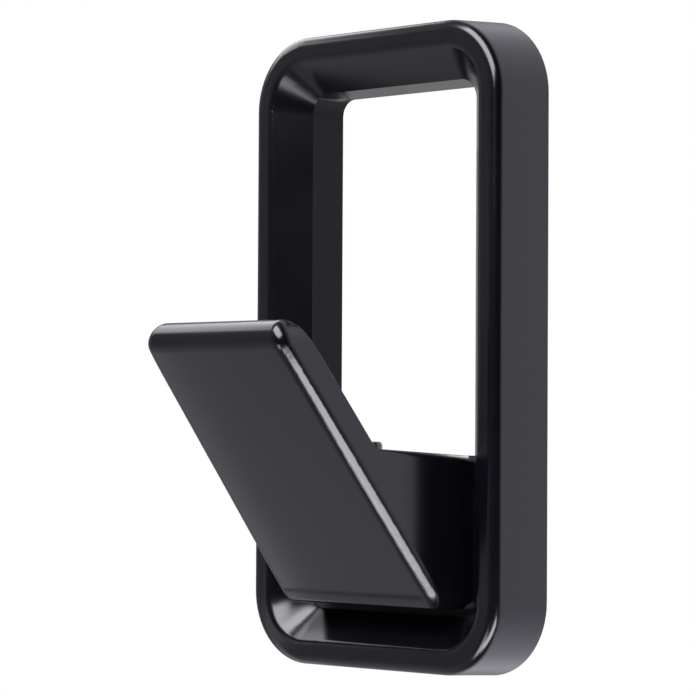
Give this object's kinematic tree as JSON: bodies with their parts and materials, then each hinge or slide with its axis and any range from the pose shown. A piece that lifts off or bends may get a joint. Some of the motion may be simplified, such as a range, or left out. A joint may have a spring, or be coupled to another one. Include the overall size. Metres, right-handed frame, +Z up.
{
  "type": "wall coat hook",
  "caption": "One-piece wall coat hook: a bevelled rounded-rectangle frame with a broad tongue that leans out of its lower half to carry coats.",
  "frame": {"origin": "midway between the two fixing holes, on the flat back face that lies against the wall", "axes": "+X to the right as seen by someone facing the wall, +Y into the wall, +Z up; the tongue reaches out along -Y"},
  "size_m": [0.0542, 0.0438, 0.1],
  "materials": {
    "black_paint": "satin"
  },
  "bodies": {
    "root": {"coat_hook": "black_paint"}
  },
  "joints": []
}
